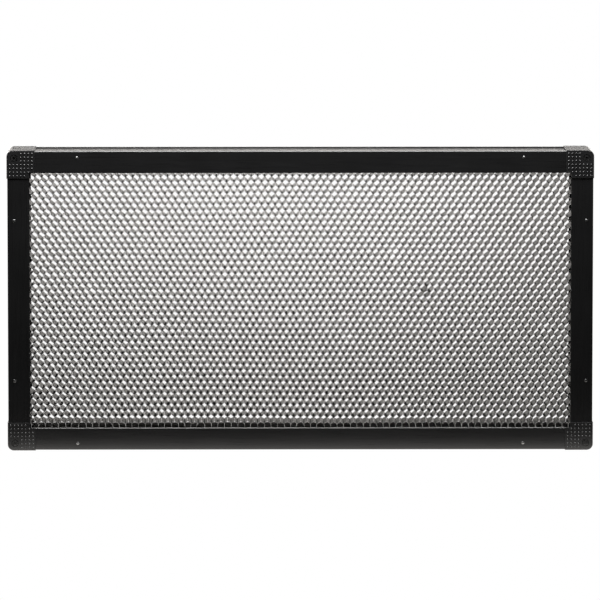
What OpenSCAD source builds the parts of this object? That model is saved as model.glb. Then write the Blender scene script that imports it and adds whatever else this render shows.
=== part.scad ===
// Framed honeycomb louver for a soft light: an aluminium honeycomb in a channel-section frame
// with moulded corner caps, pushed on to the lamp's front rim and held there by sprung detents.
// X is the width, the front faces -Y, and the frame stands on its bottom caps at z = 0.

/* [Overall size] */
// Width over the corner caps
body_w = 660; // [480:1:1300]
// Height over the corner caps
body_h = 339; // [250:1:900]
// Depth over the corner caps
body_d = 68; // [67:1:90]
// How far the caps stand proud of the rails on every side
cap_proud = 0.8; // [0.6:0.1:1.2]

/* [Rails] */
// Face width of the two upright rails
face_side = 24.9; // [22:0.1:28]
// Face width of the top and bottom rails
face_top = 24.6; // [22:0.1:28]
// Thickness of the outer web
web_t = 2.4; // [2:0.1:3]
// Width of the box part of the rail, measured in from its outer side
box_w = 14; // [13.5:0.1:15]
// Thickness of the box part's inner web
inner_t = 1.6; // [1.2:0.1:2]
// Thickness of the face, the back flange and the rear wall
flange_t = 2; // [1.5:0.1:2]
// Depth of the return lip at the edge of the opening
lip_d = 5; // [3:0.1:6]
// Thickness of the return lip
lip_t = 1.6; // [1:0.1:2]
// Depth of the shallow band along the outer side
band_d = 1; // [0.4:0.1:1.2]
// Start of that band, measured back from the face
band_start = 17; // [10:0.5:20]
// Width of the bead behind that band
bead_w = 5.5; // [3:0.5:8]
// Radius of the rail's long edges
edge_r = 0.7; // [0.3:0.1:1]

/* [Honeycomb] */
// Thickness of the honeycomb core
core_t = 47; // [30:0.1:48]
// Gap between the core's edge and the rail's inner web
core_gap = 0.6; // [0.3:0.1:2]
// How far the core's cut lower edge lies below the edge of the opening
core_sunk = 0.3; // [0.1:0.1:3]
// Thickness of the foam strip behind the core
seal_t = 1.1; // [0.5:0.1:1.5]
// Width of the foam strip
seal_w = 7.5; // [5:0.1:8]

/* [Corner caps] */
// Length of each cap leg along the frame
cap_leg = 31.6; // [30:0.1:40]
// Radius of the outer corner
corner_r = 7; // [4:0.1:9]
// How far the bevel round the cap's face runs back
cap_bevel = 1; // [0.4:0.1:1.1]
// How far that bevel draws the face in
bevel_in = 0.35; // [0.2:0.05:0.8]
// Radius of each raised grip dot
dot_r = 1; // [0.6:0.05:1.2]
// Height of a dot above the cap's face
dot_h = 0.6; // [0.3:0.05:0.6]
// Distance between dots
dot_pitch = 4.17; // [3.8:0.01:4.3]
// First dot, measured in from the cap's outer edges
dot_start = 3.5; // [2.8:0.1:3.5]
// Cap screw centre, measured in from the cap's outer edges
screw_at = 8.4; // [7:0.1:9]
// Radius of the recess round the cap screw's head
recess_r = 4.1; // [3.7:0.1:4.2]

/* [Corner keys and fixings] */
// Thickness of the corner key
key_t = 6; // [4:0.5:8]
// Clearance of the key in the rail, on each side
key_gap = 0.2; // [0.1:0.05:0.4]
// Rivet centre along the rail, measured from the cap's outer edge
rivet_at = 79; // [60:1:90]
// Length of each key leg past the rivet
key_tail = 8; // [6:1:15]
// Radius of a rivet's head
rivet_head_r = 1.7; // [1.5:0.1:2.5]
// Radius of a rivet's shank
rivet_r = 1.2; // [0.8:0.1:1.4]

/* [Lamp detents] */
// Distance of each detent from the middle of its rail
detent_x = 180; // [60:1:180]
// Radius of the detent pin's nose
pin_r = 1.95; // [1.5:0.05:2.2]
// How far the pin stands out at rest
pin_out = 3; // [1:0.1:3]
// Radius of the bore that holds the spring
bore_r = 3.2; // [3:0.1:3.5]
// Half the length of a detent housing along the rail
housing_half = 13; // [12:0.5:16]

/* [Hidden] */
$fn = 48;
ROUND = 32;        // facets of a circle inside a hull
EPS = 0.02;        // clearance of a screw or rivet shank in its hole
THIN = 0.01;       // thickness of the slices that a bevel's hull joins
OVER = 1;          // how far a cut runs past the face that it opens
FAR = 2000;        // longer than any side

rail_w = body_w - 2 * cap_proud;
rail_h = body_h - 2 * cap_proud;
rail_d = body_d - 2 * cap_proud;
front_y = cap_proud + (dot_h - body_d) / 2;

core_front = lip_d;
core_back = core_front + core_t;
flange_front = core_back + seal_t;
flange_back = flange_front + flange_t;
rear_wall = rail_d - flange_t;
chamber_out = web_t;
chamber_in = box_w - inner_t;
chamber_mid = (chamber_out + chamber_in) / 2;
core_edge = box_w + core_gap;
core_floor = face_top - core_sunk;
core_left = core_edge - rail_w / 2;
core_w = rail_w - 2 * core_edge;

key_lo = chamber_out + key_gap;
key_hi = chamber_in - key_gap;
key_back = flange_t + key_t;
key_len = rivet_at - cap_proud + key_tail;
rivet_len = rivet_at - cap_proud;
rivet_head_h = 0.6;
rivet_tail_h = 1.2;

cap_in = cap_leg - cap_proud;
dot_rows = 7;      // dots along each leg
dots_clear = 3;    // rows left out round the screw
dots_far = 11;     // rows, both ways together, that the inner corner stops
dot_sides = 20;
screw_u = screw_at - cap_proud;
screw_r = 2;
head_r = 3.6;
head_h = 1.8;
socket_r = 1.45;
socket_d = 1.2;
recess_d = 2.1;
seat_y = recess_d - cap_proud;

// Detent: every height below is measured in from the rail's outer side.
detent_y = (flange_back + rear_wall) / 2;
pin_gap = 0.1;
stop_t = 1.5;
stop_u = chamber_in - stop_t;
collar_h = 1.5;
collar_u = stop_u - collar_h;
spigot_r = 1.4;
spigot_len = 3.2;
wire_r = 0.25;
coil_r = 2.25;
coil_turns = 5;
coil_steps = 14;
wire_sides = 6;
fixing_x = 8.5;
fixing_r = 1.5;
fixing_head_r = 2.9;
fixing_len = 6;

anodised = [0.10, 0.10, 0.11];
moulded = [0.07, 0.07, 0.075];
foil = [0.78, 0.78, 0.78];
steel = [0.62, 0.62, 0.64];
zinc = [0.50, 0.50, 0.52];
foam = [0.05, 0.05, 0.05];
acetal = [0.85, 0.84, 0.80];

// ---- Placing: a corner part is drawn at the bottom left rail corner, X and Z pointing inwards.
module at_corner(side, level) {
    translate([side * rail_w / 2, front_y, body_h / 2 + level * rail_h / 2])
        mirror([side > 0 ? 1 : 0, 0, 0])
            mirror([0, 0, level > 0 ? 1 : 0])
                children();
}

// A part of a top or bottom rail: X along the rail, Z in from its outer side.
module at_rail(level) {
    translate([0, front_y, body_h / 2 + level * rail_h / 2])
        mirror([0, 0, level > 0 ? 1 : 0])
            children();
}

// Extrudes an XZ outline from depth a to depth b.
module between(a, b) {
    translate([0, b, 0])
        rotate([90, 0, 0])
            linear_extrude(b - a)
                children();
}

// A round bar or hole along Y.
module along_y(r, a, b) {
    translate([0, a, 0])
        rotate([-90, 0, 0])
            cylinder(r = r, h = b - a);
}

// What a rounded edge takes off a square corner at the origin.
module corner_waste(r) {
    difference() {
        translate([-OVER, -OVER])
            square(r + OVER);
        translate([r, r])
            circle(r);
    }
}

// ---- Rails
module rail_profile(face) {
    difference() {
        union() {
            square([web_t, rail_d]);
            square([face, flange_t]);
            translate([face - lip_t, 0])
                square([lip_t, lip_d]);
            translate([chamber_in, 0])
                square([inner_t, rail_d]);
            translate([0, flange_front])
                square([face, flange_t]);
            translate([0, rear_wall])
                square([box_w, flange_t]);
        }
        translate([-OVER, band_start])
            square([band_d + OVER, rail_d - bead_w - band_start]);
        corner_waste(edge_r);
        translate([face, 0])
            mirror([1, 0])
                corner_waste(edge_r);
        translate([0, rail_d])
            mirror([0, 1])
                corner_waste(edge_r);
    }
}

// Rivet holes near both ends of a rail that runs from 0 to length along Z.
module rivet_holes(length) {
    for (z = [rivet_len - cap_in, length - rivet_len + cap_in])
        translate([chamber_mid, 0, z])
            along_y(rivet_r + EPS, -OVER, flange_t + OVER);
}

module upright_rail() {
    length = rail_h - 2 * cap_in;
    color(anodised)
        translate([-rail_w / 2, front_y, cap_leg])
            difference() {
                linear_extrude(length)
                    rail_profile(face_side);
                rivet_holes(length);
            }
}

// A bottom rail: the profile's own X axis becomes Z.
module level_rail() {
    length = rail_w - 2 * cap_in;
    color(anodised)
        difference() {
            translate([length / 2, 0, 0])
                rotate([0, -90, 0])
                    difference() {
                        linear_extrude(length)
                            rail_profile(face_top);
                        rivet_holes(length);
                    }
            for (side = [-1, 1])
                translate([side * detent_x, 0, 0]) {
                    translate([0, detent_y, chamber_in - OVER])
                        cylinder(r = pin_r + pin_gap, h = inner_t + 2 * OVER);
                    for (end = [-1, 1])
                        translate([end * fixing_x, 0, chamber_mid])
                            fixing(EPS);
                }
        }
}

module frame_rail_top() {
    at_rail(1)
        level_rail();
}

module frame_rail_bottom() {
    at_rail(-1)
        level_rail();
}

module frame_rail_left() {
    upright_rail();
}

module frame_rail_right() {
    mirror([1, 0, 0])
        upright_rail();
}

// ---- Corner caps
// An L with legs along X and Z, from lo to the given widths.
module ell(lo, side_w, level_w, length) {
    translate([lo, lo]) {
        square([side_w - lo, length - lo]);
        square([length - lo, level_w - lo]);
    }
}

// Everything inside a corner rounded to radius r, with its outer sides at lo.
module inside_corner(lo, r) {
    translate([lo + r, lo])
        square(cap_leg);
    translate([lo, lo + r])
        square(cap_leg);
    translate([lo + r, lo + r])
        circle(r, $fn = ROUND);
}

// One leg of the face plate, drawn in by inset on every side.
module plate_leg(width, length, inset) {
    lo = -cap_proud + inset;
    intersection() {
        translate([lo, lo])
            square([width - inset - lo, length - inset - lo]);
        inside_corner(lo, corner_r - inset);
    }
}

module bevelled_leg(width, length) {
    hull() {
        between(-cap_proud, THIN - cap_proud)
            plate_leg(width, length, bevel_in);
        between(cap_bevel - cap_proud, flange_t)
            plate_leg(width, length, 0);
    }
}

module grip_dots() {
    first = dot_start - cap_proud;
    for (i = [0:dot_rows - 1], j = [0:dot_rows - 1])
        if ((i >= dots_clear || j >= dots_clear) && i + j < dots_far)
            translate([first + i * dot_pitch, dot_r - dot_h - cap_proud, first + j * dot_pitch])
                sphere(r = dot_r, $fn = dot_sides);
}

module cap_shell() {
    difference() {
        union() {
            between(flange_t - THIN, rail_d + cap_proud)
                intersection() {
                    ell(-cap_proud, box_w, box_w, cap_in);
                    inside_corner(-cap_proud, corner_r);
                }
            between(flange_front, flange_back)
                ell(box_w - THIN, face_side, face_top, cap_in);
            between(flange_t - THIN, lip_d)
                difference() {
                    ell(box_w, face_side, face_top, cap_in);
                    ell(box_w, face_side - lip_t, face_top - lip_t, FAR);
                }
        }
        between(flange_t, flange_front)
            ell(chamber_out, chamber_in, chamber_in, FAR);
        between(flange_back, rear_wall)
            ell(chamber_out, chamber_in, chamber_in, FAR);
    }
}

module corner_cap() {
    color(moulded)
        difference() {
            union() {
                bevelled_leg(face_side, cap_in);
                mirror([1, 0, -1])
                    bevelled_leg(face_top, cap_in);
                cap_shell();
                grip_dots();
            }
            translate([screw_u, 0, screw_u]) {
                along_y(recess_r, -cap_proud - OVER, seat_y);
                along_y(screw_r + EPS, seat_y - OVER, flange_t + OVER);
            }
        }
}

module corner_cap_top_left() {
    at_corner(-1, 1)
        corner_cap();
}

module corner_cap_top_right() {
    at_corner(1, 1)
        corner_cap();
}

module corner_cap_bottom_left() {
    at_corner(-1, -1)
        corner_cap();
}

module corner_cap_bottom_right() {
    at_corner(1, -1)
        corner_cap();
}

// ---- Corner keys
module corner_key() {
    color(zinc)
        difference() {
            between(flange_t, key_back)
                ell(key_lo, key_hi, key_hi, key_len);
            translate([screw_u, 0, screw_u])
                along_y(screw_r + EPS, 0, key_back + OVER);
            translate([chamber_mid, 0, rivet_len])
                along_y(rivet_r + EPS, 0, key_back + OVER);
            translate([rivet_len, 0, chamber_mid])
                along_y(rivet_r + EPS, 0, key_back + OVER);
        }
}

module corner_key_top_left() {
    at_corner(-1, 1)
        corner_key();
}

module corner_key_top_right() {
    at_corner(1, 1)
        corner_key();
}

module corner_key_bottom_left() {
    at_corner(-1, -1)
        corner_key();
}

module corner_key_bottom_right() {
    at_corner(1, -1)
        corner_key();
}

// ---- Screws and rivets
// A pan-head screw with a hexagon socket, through the cap into the key.
module cap_screw() {
    difference() {
        union() {
            along_y(head_r, seat_y - head_h, seat_y);
            along_y(screw_r, seat_y - THIN, key_back);
        }
        translate([0, seat_y - head_h - OVER, 0])
            rotate([-90, 0, 0])
                cylinder(r = socket_r, h = socket_d + OVER, $fn = 6);
    }
}

module cap_screws() {
    color(steel)
        for (side = [-1, 1], level = [-1, 1])
            at_corner(side, level)
                translate([screw_u, 0, screw_u])
                    cap_screw();
}

// A blind rivet: domed head on the face, formed tail behind the key.
module rail_rivet() {
    ball_r = (rivet_head_r * rivet_head_r + rivet_head_h * rivet_head_h) / (2 * rivet_head_h);
    intersection() {
        translate([0, ball_r - rivet_head_h, 0])
            sphere(r = ball_r);
        along_y(rivet_head_r, -rivet_head_h - OVER, 0);
    }
    along_y(rivet_r, -THIN, key_back + THIN);
    along_y(rivet_head_r, key_back, key_back + rivet_tail_h);
}

module rail_rivets() {
    color(steel)
        for (side = [-1, 1], level = [-1, 1])
            at_corner(side, level) {
                translate([chamber_mid, 0, rivet_len])
                    rail_rivet();
                translate([rivet_len, 0, chamber_mid])
                    rail_rivet();
            }
}

// ---- Honeycomb core: the envelope of the cell block, cut square at its edges
module honeycomb_core() {
    color(foil)
        translate([core_left, front_y + core_front, cap_proud + core_floor])
            cube([core_w, core_t, rail_h - core_edge - core_floor]);
}

// The strip that fills the bottom slot, so that the core's cut lower edge stands on it.
module core_packer() {
    color(foam)
        translate([core_left, front_y + core_front, cap_proud + box_w])
            cube([core_w, core_t, core_floor - box_w]);
}

module level_seal() {
    color(foam)
        translate([core_left, core_back, core_edge])
            cube([core_w, seal_t, seal_w]);
}

module upright_seal() {
    color(foam)
        translate([core_left, front_y + core_back, cap_proud + core_edge + seal_w])
            cube([seal_w, seal_t, rail_h - 2 * (core_edge + seal_w)]);
}

module core_seal_top() {
    at_rail(1)
        level_seal();
}

module core_seal_bottom() {
    at_rail(-1)
        level_seal();
}

module core_seal_left() {
    upright_seal();
}

module core_seal_right() {
    mirror([1, 0, 0])
        upright_seal();
}

// ---- Lamp detents
module at_detent(side, level) {
    at_rail(level)
        translate([side * detent_x, detent_y, 0])
            children();
}

// The housing's fixing screw, countersunk in the rail's rear wall.
module fixing(gap) {
    translate([0, rear_wall, 0])
        rotate([-90, 0, 0]) {
            cylinder(r1 = fixing_r + gap, r2 = fixing_head_r + gap, h = flange_t);
            translate([0, 0, -fixing_len])
                cylinder(r = fixing_r + gap, h = fixing_len + THIN);
        }
}

module detent_housing() {
    color(acetal)
        difference() {
            translate([-housing_half, flange_back - detent_y, chamber_out])
                cube([2 * housing_half, rear_wall - flange_back, chamber_in - chamber_out]);
            translate([0, 0, chamber_out - OVER])
                cylinder(r = bore_r, h = stop_u - chamber_out + OVER);
            translate([0, 0, stop_u - OVER])
                cylinder(r = pin_r + pin_gap, h = stop_t + 2 * OVER);
            for (end = [-1, 1])
                translate([end * fixing_x, -detent_y, chamber_mid])
                    fixing(EPS);
        }
}

module detent_pin() {
    color(steel) {
        translate([0, 0, collar_u])
            cylinder(r = bore_r - pin_gap, h = collar_h);
        translate([0, 0, collar_u - spigot_len])
            cylinder(r = spigot_r, h = spigot_len + THIN);
        translate([0, 0, stop_u - THIN])
            cylinder(r = pin_r, h = box_w + pin_out - pin_r - stop_u + THIN);
        translate([0, 0, box_w + pin_out - pin_r])
            sphere(r = pin_r);
    }
}

// A closed-end helix from the web up to the pin's collar.
module detent_spring() {
    steps = coil_turns * coil_steps;
    rise = collar_u - chamber_out - 2 * wire_r;
    rings = [for (i = [0:steps])
        let (turn = 360 * i / coil_steps, z = chamber_out + wire_r + rise * i / steps)
            [for (k = [0:wire_sides - 1])
                let (side = 360 * k / wire_sides, r = coil_r + wire_r * cos(side))
                    [r * cos(turn), r * sin(turn), z + wire_r * sin(side)]]];
    walls = [for (i = [0:steps - 1], k = [0:wire_sides - 1])
        let (n = (k + 1) % wire_sides, a = i * wire_sides)
            [a + k, a + wire_sides + k, a + wire_sides + n, a + n]];
    first = [for (k = [0:wire_sides - 1]) k];
    last = [for (k = [wire_sides - 1:-1:0]) steps * wire_sides + k];
    color(steel)
        polyhedron([for (ring = rings, p = ring) p], concat(walls, [first, last]));
}

module detent_housing_top_left() {
    at_detent(-1, 1)
        detent_housing();
}

module detent_housing_top_right() {
    at_detent(1, 1)
        detent_housing();
}

module detent_housing_bottom_left() {
    at_detent(-1, -1)
        detent_housing();
}

module detent_housing_bottom_right() {
    at_detent(1, -1)
        detent_housing();
}

module detent_pin_top_left() {
    at_detent(-1, 1)
        detent_pin();
}

module detent_pin_top_right() {
    at_detent(1, 1)
        detent_pin();
}

module detent_pin_bottom_left() {
    at_detent(-1, -1)
        detent_pin();
}

module detent_pin_bottom_right() {
    at_detent(1, -1)
        detent_pin();
}

module detent_spring_top_left() {
    at_detent(-1, 1)
        detent_spring();
}

module detent_spring_top_right() {
    at_detent(1, 1)
        detent_spring();
}

module detent_spring_bottom_left() {
    at_detent(-1, -1)
        detent_spring();
}

module detent_spring_bottom_right() {
    at_detent(1, -1)
        detent_spring();
}

module housing_screws() {
    color(steel)
        for (side = [-1, 1], level = [-1, 1], end = [-1, 1])
            at_rail(level)
                translate([side * detent_x + end * fixing_x, 0, chamber_mid])
                    fixing(0);
}

frame_rail_top();
frame_rail_bottom();
frame_rail_left();
frame_rail_right();
corner_cap_top_left();
corner_cap_top_right();
corner_cap_bottom_left();
corner_cap_bottom_right();
corner_key_top_left();
corner_key_top_right();
corner_key_bottom_left();
corner_key_bottom_right();
cap_screws();
rail_rivets();
honeycomb_core();
core_packer();
core_seal_top();
core_seal_bottom();
core_seal_left();
core_seal_right();
detent_housing_top_left();
detent_housing_top_right();
detent_housing_bottom_left();
detent_housing_bottom_right();
detent_pin_top_left();
detent_pin_top_right();
detent_pin_bottom_left();
detent_pin_bottom_right();
detent_spring_top_left();
detent_spring_top_right();
detent_spring_bottom_left();
detent_spring_bottom_right();
housing_screws();
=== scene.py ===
import math

import bpy
import numpy as np
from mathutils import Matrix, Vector

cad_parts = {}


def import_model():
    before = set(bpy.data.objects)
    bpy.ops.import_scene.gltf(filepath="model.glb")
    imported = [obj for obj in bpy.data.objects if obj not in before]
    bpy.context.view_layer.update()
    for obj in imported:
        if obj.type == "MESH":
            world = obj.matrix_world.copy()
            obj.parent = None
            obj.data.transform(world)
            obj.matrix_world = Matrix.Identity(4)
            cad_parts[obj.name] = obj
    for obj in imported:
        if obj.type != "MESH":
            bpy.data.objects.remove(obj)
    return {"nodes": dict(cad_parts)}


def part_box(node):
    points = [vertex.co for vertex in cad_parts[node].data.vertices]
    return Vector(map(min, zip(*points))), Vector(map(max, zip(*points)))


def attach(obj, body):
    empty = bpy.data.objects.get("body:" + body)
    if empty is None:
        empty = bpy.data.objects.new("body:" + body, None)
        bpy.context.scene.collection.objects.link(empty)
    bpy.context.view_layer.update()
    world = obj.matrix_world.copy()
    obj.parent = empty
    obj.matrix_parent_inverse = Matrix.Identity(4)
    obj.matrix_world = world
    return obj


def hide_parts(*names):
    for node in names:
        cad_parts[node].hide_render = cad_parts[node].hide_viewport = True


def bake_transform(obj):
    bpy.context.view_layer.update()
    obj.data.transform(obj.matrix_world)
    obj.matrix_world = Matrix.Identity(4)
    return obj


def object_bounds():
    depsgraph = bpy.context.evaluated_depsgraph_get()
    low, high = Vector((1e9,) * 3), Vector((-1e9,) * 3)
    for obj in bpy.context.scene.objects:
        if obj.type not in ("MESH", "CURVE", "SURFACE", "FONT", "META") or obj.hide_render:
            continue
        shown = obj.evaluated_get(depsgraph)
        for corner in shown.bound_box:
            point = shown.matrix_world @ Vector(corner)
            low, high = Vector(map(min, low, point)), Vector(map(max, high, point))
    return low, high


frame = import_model()
nodes = frame["nodes"]
cad_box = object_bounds()

MM = 0.001

# ---- Camera: the long lens looks slightly down on the middle of the face, from just left of it
CAMERA_DISTANCE = 7.0  # metres from the point it looks at
CAMERA_ELEVATION = math.radians(5.9)
CAMERA_LEFT = 0.067  # metres to the left of that point
SENSOR = 36.0  # millimetres
VIEW_WIDTH = 0.6749  # metres across the picture at the face
AIM_UP = 0.0010  # metres above the middle of the face
AIM_LEFT = 0.0005

# ---- Light: how strong it is, where white to the eye is 1
BACK_GLOW = 8.2  # of the patch straight behind the panel
BACK_CONE = (math.cos(math.radians(18)), math.cos(math.radians(9)))  # its rim and its full part
BACK_LOW, BACK_HIGH = 0.02, 0.11  # sine of the elevation from which it fades, and where it is gone
GLOW_TINT = (1, 0.965, 0.925)
SIDE_GLOW = 0.33  # of the room behind the panel, around that patch
FRONT_GLOW = 0.045  # of the room in front of it
FRONT_TO, SIDE_FROM = -0.3, 0.9  # y of the directions between which one turns into the other
OVERHEAD_POWER = 36.0  # watts
OVERHEAD_SIZE = (1.0, 0.35)  # metres
OVERHEAD_PLACE = (0, -0.16, 0.80)
FLOOR_HALF = 12.0  # metres from the middle to each edge
FLOOR_GLOW = 2.8  # behind the panel
FLOOR_DIM = 0.03  # in front of it
FLOOR_DIM_TO, FLOOR_LIT_FROM = -0.11, -0.02  # metres back from the middle of the frame

# ---- Honeycomb
CELL_PITCH = 7.68 * MM  # between the middles of neighbouring cells in a row
ROW_PITCH = 6.475 * MM
STUB_MORE = 1.6 * MM  # how much longer the sawn walls of the lowest row are
SQUASH = 1.5 * MM  # how far the roof over the lowest cells is pressed down
DROPS = {0: STUB_MORE, 1: SQUASH}  # of the walls' lower ends, by row from the bottom
SPLAY = 8  # how much more the sawn ends stray sideways
WALL_SLOPE = math.radians(39)  # of the slanted cell walls
FOIL = 0.09 * MM
FOIL_TINT = (1, 0.98, 0.955)
FOIL_GRAZING = 0.02  # what the dull foil still reflects of light that skims along it
BOND_GAP = 0.004 * MM  # between the two foils of a bonded wall
BEND_CUT = 0.55 * MM  # how far from a corner of the cell the foil starts to bend
SPREAD = 0.028  # how much wider the cells are at the top than halfway up
JITTER = 0.11 * MM
TWIST = 0.09 * MM  # how far the back edge strays from the front edge
DENTS = 26
DENT_SIZE = 5 * MM
DENT_PUSH = 0.8 * MM
# Slow drift: waves of so many millimetres, with so many radians to a metre of x and of z
DRIFT_X = ((0.5, 11, 7), (0.3, 23, -31))
DRIFT_Z = ((0.35, 9, -5), (0.25, 27, 19))
SEED = 7
WALL_SLOT, EDGE_SLOT = 0, 1  # the foils' two materials

# ---- Surfaces
LINE_STRETCH = 0.012  # die lines: the noise's scale along the rail, against across it
STREAK_STRETCH = 0.06  # rolling streaks: the same along the cells
MARK_STRETCH = 0.2  # tool marks: the same along z

# ---- Detent springs
WIRE_R = 0.25 * MM
COIL_TURNS = 5
COIL_STEPS = 32  # in each turn
WIRE_SIDES = 10


def add_object(data):
    """Puts an object of that mesh, light or camera in the scene, by the same name."""
    made = bpy.data.objects.new(data.name, data)
    bpy.context.scene.collection.objects.link(made)
    return made


# ======== Materials ========
def new_material(name):
    """A node material: returns it, its tree and its Principled shader."""
    material = bpy.data.materials.new(name)
    material.use_nodes = True
    tree = material.node_tree
    return material, tree, tree.nodes["Principled BSDF"]


def add_node(tree, kind, inputs=None, **settings):
    """A node with its settings, and its inputs set or linked by name or number."""
    made = tree.nodes.new(kind)
    for key, value in settings.items():
        setattr(made, key, value)
    for key, value in (inputs or {}).items():
        if isinstance(value, bpy.types.NodeSocket):
            tree.links.new(value, made.inputs[key])
        else:
            made.inputs[key].default_value = value
    return made


def noise(tree, scale, detail=4.0, stretch=(1, 1, 1), rough=0.5):
    """Noise in metres of the part's own frame, stretched along an axis by a small factor there."""
    place = add_node(tree, "ShaderNodeTexCoord").outputs["Object"]
    spread = add_node(tree, "ShaderNodeMapping", {"Vector": place, "Scale": stretch})
    return add_node(
        tree,
        "ShaderNodeTexNoise",
        {"Vector": spread.outputs[0], "Scale": scale, "Detail": detail, "Roughness": rough},
    ).outputs["Fac"]


def spread_to(tree, value, low, high, at_low=0.3, at_high=0.7):
    """Maps a texture's range to low..high."""
    inputs = {"Value": value, 1: at_low, 2: at_high, 3: low, 4: high}
    return add_node(tree, "ShaderNodeMapRange", inputs).outputs[0]


def two_tone(tree, value, dark, light, at_low=0.3, at_high=0.7):
    """A colour that runs from dark to light as the texture does."""
    ramp = add_node(tree, "ShaderNodeValToRGB", {"Fac": value})
    ramp.color_ramp.elements[0].position = at_low
    ramp.color_ramp.elements[1].position = at_high
    ramp.color_ramp.elements[0].color = (*dark, 1)
    ramp.color_ramp.elements[1].color = (*light, 1)
    return ramp.outputs["Color"]


def add_bump(tree, shader, height, strength, distance):
    """Relief from a texture, distance metres high at full strength."""
    bump = add_node(
        tree, "ShaderNodeBump", {"Height": height, "Strength": strength, "Distance": distance}
    )
    tree.links.new(bump.outputs["Normal"], shader.inputs["Normal"])


def grey(value, tint=(1, 1, 1)):
    """A grey of that lightness, tinted."""
    return tuple(value * t for t in tint)


def coat(tree, shader, colour, rough, metallic=0.0):
    """Wires in a colour and a roughness that vary over the surface."""
    tree.links.new(colour, shader.inputs["Base Color"])
    tree.links.new(rough, shader.inputs["Roughness"])
    shader.inputs["Metallic"].default_value = metallic


def anodised(name, along):
    """Black anodised extrusion: fine die lines along the rail, a satin film over the metal."""
    material, tree, shader = new_material(name)
    stretch = [1.0, 1.0, 1.0]
    stretch["XYZ".index(along)] = LINE_STRETCH
    lines = noise(tree, scale=2600, detail=3, stretch=stretch)
    cloud = noise(tree, scale=22, detail=3)
    colour = two_tone(tree, cloud, grey(0.0025, (1, 1, 1.04)), grey(0.004, (1, 1, 1.05)))
    coat(tree, shader, colour, spread_to(tree, lines, low=0.27, high=0.37))
    add_bump(tree, shader, lines, strength=0.12, distance=0.02 * MM)
    return material


def cap_plastic():
    """Black moulded nylon with a fine spark-eroded grain."""
    material, tree, shader = new_material("cap_plastic")
    grain = noise(tree, scale=2600, detail=5, rough=0.6)
    cloud = noise(tree, scale=60, detail=3)
    colour = two_tone(tree, cloud, grey(0.003, (1, 1, 1.05)), grey(0.005, (1, 1, 1.06)))
    coat(tree, shader, colour, spread_to(tree, grain, low=0.32, high=0.42))
    add_bump(tree, shader, grain, strength=0.15, distance=0.03 * MM)
    return material


def foil_metal():
    """Rolled aluminium foil, dulled, with faint rolling streaks along the cells."""
    material, tree, shader = new_material("foil_metal")
    streaks = noise(tree, scale=900, detail=3, stretch=(1, STREAK_STRETCH, 1))
    cloud = noise(tree, scale=90, detail=3)
    colour = two_tone(tree, cloud, grey(0.62, FOIL_TINT), grey(0.74, FOIL_TINT))
    coat(tree, shader, colour, spread_to(tree, streaks, low=0.24, high=0.38), metallic=1.0)
    shader.inputs["Specular Tint"].default_value = (*grey(FOIL_GRAZING, FOIL_TINT), 1)
    add_bump(tree, shader, streaks, strength=0.1, distance=0.03 * MM)
    return material


def cut_edge():
    """The foil's sawn edges and end walls, burred and matt."""
    material, tree, shader = new_material("foil_cut_edge")
    burr = noise(tree, scale=4000, detail=3)
    colour = two_tone(tree, burr, grey(0.75, FOIL_TINT), grey(0.9, FOIL_TINT))
    coat(tree, shader, colour, spread_to(tree, burr, low=0.5, high=0.75), metallic=0.2)
    add_bump(tree, shader, burr, strength=0.3, distance=0.03 * MM)
    return material


def black_oxide():
    """Blackened steel, slightly worn."""
    material, tree, shader = new_material("black_oxide")
    wear = noise(tree, scale=700, detail=5)
    colour = two_tone(tree, wear, grey(0.02), grey(0.06), at_low=0.45, at_high=0.75)
    coat(tree, shader, colour, spread_to(tree, wear, low=0.3, high=0.45), metallic=0.8)
    add_bump(tree, shader, wear, strength=0.08, distance=0.02 * MM)
    return material


def rivet_metal():
    """Dark plated rivet heads, glossy enough to catch the light."""
    material, tree, shader = new_material("rivet_metal")
    wear = noise(tree, scale=900, detail=4)
    colour = two_tone(tree, wear, grey(0.12), grey(0.2), at_low=0.4, at_high=0.7)
    coat(tree, shader, colour, spread_to(tree, wear, low=0.2, high=0.32), metallic=0.9)
    return material


def machined(name, low, high, rough):
    """Plain turned or cast metal with fine tool marks."""
    material, tree, shader = new_material(name)
    marks = noise(tree, scale=1800, detail=4, stretch=(1, 1, MARK_STRETCH))
    colour = two_tone(tree, marks, grey(low), grey(high))
    varied = spread_to(tree, marks, low=rough - 0.06, high=rough + 0.08)
    coat(tree, shader, colour, varied, metallic=1.0)
    add_bump(tree, shader, marks, strength=0.1, distance=0.02 * MM)
    return material


def foam():
    """Black closed-cell foam, with painted shade: its colour is darker down in the pits of the
    cells.
    """
    material, tree, shader = new_material("foam")
    place = add_node(tree, "ShaderNodeTexCoord").outputs["Object"]
    cells = add_node(tree, "ShaderNodeTexVoronoi", {"Vector": place, "Scale": 1500})
    depth = cells.outputs["Distance"]
    # Painted shade: the colour follows the bump's height, darker where the cells' pits sink in.
    colour = two_tone(tree, depth, grey(0.008), grey(0.022), at_low=0.1, at_high=0.6)
    tree.links.new(colour, shader.inputs["Base Color"])
    shader.inputs["Roughness"].default_value = 0.9
    add_bump(tree, shader, depth, strength=0.3, distance=0.1 * MM)
    return material


def acetal():
    """Natural acetal: off-white, waxy."""
    material, tree, shader = new_material("acetal")
    cloud = noise(tree, scale=300, detail=4)
    colour = two_tone(tree, cloud, (0.68, 0.67, 0.62), (0.76, 0.75, 0.70))
    coat(tree, shader, colour, spread_to(tree, cloud, low=0.32, high=0.45))
    return material


def dress(starts, material):
    """Gives that material to every CAD node whose name begins with one of the starts."""
    for name, node in nodes.items():
        if name.startswith(starts):
            node.data.materials.clear()
            node.data.materials.append(material)


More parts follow.
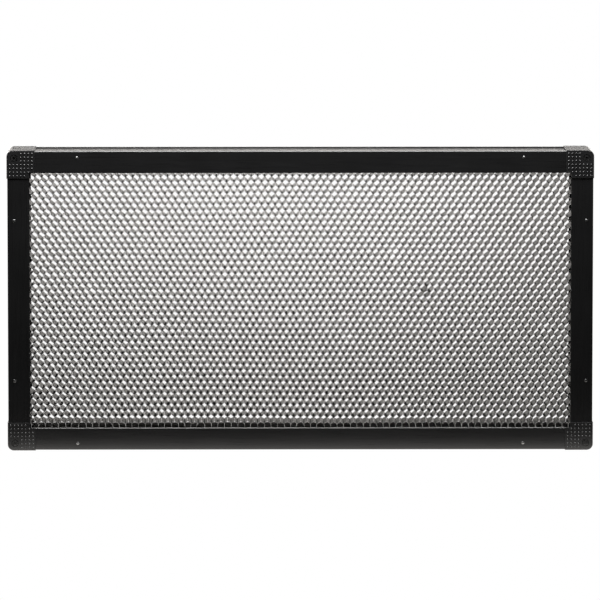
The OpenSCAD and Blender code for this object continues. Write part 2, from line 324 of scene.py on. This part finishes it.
dress(("frame_rail_top", "frame_rail_bottom"), anodised("anodised_level", "X"))
dress(("frame_rail_left", "frame_rail_right"), anodised("anodised_upright", "Z"))
dress("corner_cap", cap_plastic())
dress("corner_key", machined("cast_zinc", low=0.42, high=0.52, rough=0.42))
dress(("cap_screws", "housing_screws"), black_oxide())
dress("rail_rivets", rivet_metal())
dress("core_", foam())
dress("detent_housing", acetal())
steel = machined("turned_steel", low=0.5, high=0.62, rough=0.24)
dress("detent_pin", steel)


# ======== Honeycomb ========
def drift(waves, phases, x, z):
    """How far those waves shift a point, in metres."""
    return MM * sum(
        size * math.sin(by_x * x + by_z * z + phase)
        for (size, by_x, by_z), phase in zip(waves, phases)
    )


class Lattice:
    """Where the cell walls meet. Column k has an upright wall in row j when k + j is even."""

    def __init__(self, low, high):
        self.low, self.high = low, high
        self.middle = (low + high) / 2
        half = CELL_PITCH / 2
        self.wall = (ROW_PITCH - half * math.tan(WALL_SLOPE)) / 2  # half an upright wall
        reach = (high.x - low.x) / 2 * (1 + SPREAD) + CELL_PITCH
        self.columns = 2 * math.ceil(reach / half) + 1
        self.left = self.middle.x - half * (self.columns - 1) / 2
        self.rows = int((high.z - low.z) / ROW_PITCH) + 1
        self.first_row = low.z + STUB_MORE + self.wall
        rng = np.random.default_rng(SEED)
        shape = (self.columns, self.rows, 2, 2)  # column, row, wall end, x or z
        self.stray = rng.normal(0, JITTER, shape)
        self.twist = rng.normal(0, TWIST, shape)
        self.twist[:, 0, 0, 0] *= SPLAY
        self.phases = rng.uniform(0, 2 * math.pi, 4)
        spots = rng.uniform((low.x, low.z), (high.x, high.z), (DENTS, 2))
        pushes = rng.normal(0, DENT_PUSH, (DENTS, 2))
        self.dents = list(zip(spots, pushes))

    def warp(self, x, z):
        """Where a point lies once the block has been stretched open by hand."""
        dx = drift(DRIFT_X, self.phases[:2], x, z)
        dz = drift(DRIFT_Z, self.phases[2:], x, z)
        rise = (z - self.middle.z) / (self.high.z - self.middle.z)
        x = self.middle.x + (x - self.middle.x) * (1 + SPREAD * rise)
        return x + dx, z + dz

    def junction(self, k, j, end):
        """Front and back (x, z) of the lower (end 0) or upper (end 1) end of an upright wall."""
        x = self.left + k * CELL_PITCH / 2
        z = self.first_row + j * ROW_PITCH + (self.wall if end else -self.wall)
        if end == 0:
            z -= DROPS.get(j, 0)
        back = np.array(self.warp(x, z)) + self.stray[k, j, end]
        front = back + self.twist[k, j, end]
        for spot, push in self.dents:
            away = (front - spot) / DENT_SIZE
            front = front + push * math.exp(-away @ away)
        return front, back

    def holds(self, point):
        """Whether a foil at that (x, z) stays inside the block's sides and top."""
        edge = FOIL + BOND_GAP
        inside = self.low.x + edge < point[0] < self.high.x - edge
        return inside and point[1] < self.high.z


def ribbon_runs(lattice, r):
    """The stretches of ribbon r inside the block, each as its front and back corner points."""
    run = []
    for j in range(lattice.rows):
        k = r + (r + j) % 2  # it is bonded to the ribbon before it at r, to the next one at r + 1
        offset = np.array([(1 if k == r else -1) * (BOND_GAP + FOIL / 2), 0])
        for end in (0, 1):
            front, back = (point + offset for point in lattice.junction(k, j, end))
            if lattice.holds(front) and lattice.holds(back):
                run.append((front, back))
            elif run:
                yield np.array(run)
                run = []
    if run:
        yield np.array(run)


def unit(v):
    """The vectors in the last axis, each of length 1."""
    return v / np.linalg.norm(v, axis=-1, keepdims=True)


def bend_corners(corners):
    """A path with each inner corner cut by two points, and the path's normal at each point."""
    along = unit(np.diff(corners, axis=0))
    points, normals = [], []
    for i, corner in enumerate(corners):
        for step in (i - 1, i):
            if 0 <= step < len(along):
                way = along[step]
                inner = 0 < i < len(corners) - 1
                cut = BEND_CUT if inner else 0
                points.append(corner + way * (cut if step == i else -cut))
                normals.append((way[1], -way[0]))
    return np.array(points), np.array(normals)


def add_strip(mesh_data, run, low, high):
    """One folded foil as a closed strip with its thickness, smooth round its bends."""
    verts, faces, shading, slots = mesh_data
    start = len(verts)
    rings = []
    for side, y in ((0, low.y), (1, high.y)):
        points, normals = bend_corners(run[:, side])
        for way in (-1, 1):
            offset = points + normals * way * FOIL / 2
            rings.append([(x, y, max(z, low.z)) for x, z in offset])
        rings.append([(x, 0, z) for x, z in normals])
    front_left, front_right, front_normal, back_left, back_right, back_normal = rings
    for four in zip(front_left, front_right, back_left, back_right):
        verts.extend(four)
    count = len(front_left)

    def away(normal, way):
        return tuple(way * n for n in normal)

    for i in range(count - 1):
        side_slot = WALL_SLOT if i else EDGE_SLOT
        slots.extend((EDGE_SLOT, EDGE_SLOT, side_slot, side_slot))
        a = start + 4 * i
        b = a + 4
        faces.append((a, a + 1, b + 1, b))  # front edge
        shading.append([(0, -1, 0)] * 4)
        faces.append((a + 3, a + 2, b + 2, b + 3))  # back edge
        shading.append([(0, 1, 0)] * 4)
        faces.append((a + 2, a, b, b + 2))  # left side
        sides = (back_normal[i], front_normal[i], front_normal[i + 1], back_normal[i + 1])
        shading.append([away(n, -1) for n in sides])
        faces.append((a + 1, a + 3, b + 3, b + 1))  # right side
        sides = (front_normal[i], back_normal[i], back_normal[i + 1], front_normal[i + 1])
        shading.append([away(n, 1) for n in sides])
    slots.extend((WALL_SLOT, WALL_SLOT))
    end = start + 4 * (count - 1)
    faces.append((start, start + 2, start + 3, start + 1))
    shading.append([(0, 0, -1)] * 4)
    faces.append((end, end + 1, end + 3, end + 2))
    shading.append([(0, 0, 1)] * 4)


def honeycomb():
    """The expanded core: upright folded foils, bonded to each other at every other wall."""
    low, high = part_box("honeycomb_core")
    lattice = Lattice(low, high)
    materials = (foil_metal(), cut_edge())  # in the order of the slots
    ribbons = lattice.columns - 1
    halves = {"left": range(ribbons // 2), "right": range(ribbons // 2, ribbons)}
    for half, numbers in halves.items():
        mesh_data = ([], [], [], [])
        verts, faces, shading, slots = mesh_data
        for r in numbers:
            for run in ribbon_runs(lattice, r):
                if len(run) > 1:
                    add_strip(mesh_data, run, low, high)
        mesh = bpy.data.meshes.new("honeycomb_foils_" + half)
        mesh.from_pydata(verts, [], faces)
        for material in materials:
            mesh.materials.append(material)
        mesh.polygons.foreach_set("material_index", slots)
        mesh.normals_split_custom_set([normal for face in shading for normal in face])
        piece = add_object(mesh)
        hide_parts("honeycomb_core")
        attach(piece, "frame")


honeycomb()


# ======== Detent springs ========
def spring(corner):
    """A coil between the rail's web and the pin's collar, at the fixed length of the CAD spring."""
    name = "detent_spring_" + corner
    low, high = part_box(name)
    middle = (low + high) / 2
    radius = (high.x - low.x) / 2 - WIRE_R
    rise = high.z - low.z - 2 * WIRE_R
    rings = COIL_TURNS * COIL_STEPS
    verts, faces = [], []
    for i in range(rings + 1):
        turn = 2 * math.pi * i / COIL_STEPS
        z = low.z + WIRE_R + rise * i / rings
        for k in range(WIRE_SIDES):
            side = 2 * math.pi * k / WIRE_SIDES
            reach = radius + WIRE_R * math.cos(side)
            x, y = middle.x + reach * math.cos(turn), middle.y + reach * math.sin(turn)
            verts.append((x, y, z + WIRE_R * math.sin(side)))
            if i < rings:
                a = i * WIRE_SIDES + k
                b = i * WIRE_SIDES + (k + 1) % WIRE_SIDES
                faces.append((a, a + WIRE_SIDES, b + WIRE_SIDES, b))
    faces.append(tuple(range(WIRE_SIDES)))
    faces.append(tuple(reversed(range(len(verts) - WIRE_SIDES, len(verts)))))
    mesh = bpy.data.meshes.new("coil_" + corner)
    mesh.from_pydata(verts, [], faces)
    mesh.materials.append(steel)
    mesh.polygons.foreach_set("use_smooth", [len(face) == 4 for face in faces])
    piece = add_object(mesh)
    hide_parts(name)
    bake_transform(piece)


for side in ("top", "bottom"):
    for end in ("left", "right"):
        spring(side + "_" + end)


# ======== Stage, light and camera ========
def glow(tree, shader, strength):
    """White where the camera sees it directly; warm and that strong for the light on the object."""
    seen = add_node(tree, "ShaderNodeLightPath").outputs["Is Camera Ray"]
    shown = add_node(tree, "ShaderNodeMix", {"Factor": seen, "A": strength, "B": 1.0})
    tree.links.new(shown.outputs[0], shader.inputs["Strength"])
    inputs = {"Fac": seen, "Color1": (*GLOW_TINT, 1), "Color2": (1, 1, 1, 1)}
    colour = add_node(tree, "ShaderNodeMixRGB", inputs)
    tree.links.new(colour.outputs[0], shader.inputs["Color"])


def ramp(tree, value, start, end, low, high):
    """low up to start, high from end on, and smooth between them."""
    inputs = {"Value": value, 1: start, 2: end, 3: low, 4: high}
    made = add_node(tree, "ShaderNodeMapRange", inputs, interpolation_type="SMOOTHSTEP")
    return made.outputs[0]


def floor():
    """A white floor, lit strongly behind the panel and hardly in front of it."""
    mesh = bpy.data.meshes.new("floor")
    corners = [(x * FLOOR_HALF, y * FLOOR_HALF, 0) for x, y in ((-1, -1), (1, -1), (1, 1), (-1, 1))]
    mesh.from_pydata(corners, [], [(0, 1, 2, 3)])
    piece = add_object(mesh)
    material, tree, shader = new_material("floor_white")
    tree.nodes.remove(shader)
    place = add_node(tree, "ShaderNodeTexCoord").outputs["Object"]
    depth = add_node(tree, "ShaderNodeSeparateXYZ", {0: place}).outputs["Y"]
    light = add_node(tree, "ShaderNodeEmission")
    glow(tree, light, ramp(tree, depth, FLOOR_DIM_TO, FLOOR_LIT_FROM, FLOOR_DIM, FLOOR_GLOW))
    tree.links.new(light.outputs[0], tree.nodes["Material Output"].inputs["Surface"])
    mesh.materials.append(material)


def world():
    """White to the eye. Its light is strongest straight behind the panel, and dim in front."""
    made = bpy.data.worlds.new("studio")
    bpy.context.scene.world = made
    made.use_nodes = True
    tree = made.node_tree
    shade = tree.nodes["Background"]
    place = add_node(tree, "ShaderNodeTexCoord").outputs["Generated"]
    parts = add_node(tree, "ShaderNodeSeparateXYZ", {0: place})
    around = ramp(tree, parts.outputs["Y"], FRONT_TO, SIDE_FROM, FRONT_GLOW, SIDE_GLOW)
    behind = ramp(tree, parts.outputs["Y"], *BACK_CONE, 0, BACK_GLOW)
    low_down = ramp(tree, parts.outputs["Z"], BACK_LOW, BACK_HIGH, 1, 0)
    patch = add_node(tree, "ShaderNodeMath", {0: behind, 1: low_down}, operation="MULTIPLY")
    total = add_node(tree, "ShaderNodeMath", {0: around, 1: patch.outputs[0]}, operation="ADD")
    glow(tree, shade, total.outputs[0])


def overhead():
    """The softbox above and slightly in front, which picks out the dots and the ledges."""
    data = bpy.data.lights.new("overhead", "AREA")
    data.shape = "RECTANGLE"
    data.size, data.size_y = OVERHEAD_SIZE
    data.energy = OVERHEAD_POWER
    piece = add_object(data)
    piece.location = OVERHEAD_PLACE
    piece.visible_camera = False


def camera():
    """The long lens, aimed at the middle of the face."""
    low, high = cad_box
    aim = Vector((-AIM_LEFT, low.y, (low.z + high.z) / 2 + AIM_UP))
    away = Vector((0, -math.cos(CAMERA_ELEVATION), math.sin(CAMERA_ELEVATION)))
    data = bpy.data.cameras.new("camera")
    data.sensor_width = SENSOR
    data.lens = SENSOR * CAMERA_DISTANCE / VIEW_WIDTH
    piece = add_object(data)
    piece.location = aim + away * CAMERA_DISTANCE - Vector((CAMERA_LEFT, 0, 0))
    piece.rotation_euler = (aim - piece.location).to_track_quat("-Z", "Y").to_euler()
    bpy.context.scene.camera = piece


floor()
world()
overhead()
camera()
bpy.context.scene.view_settings.view_transform = "Standard"
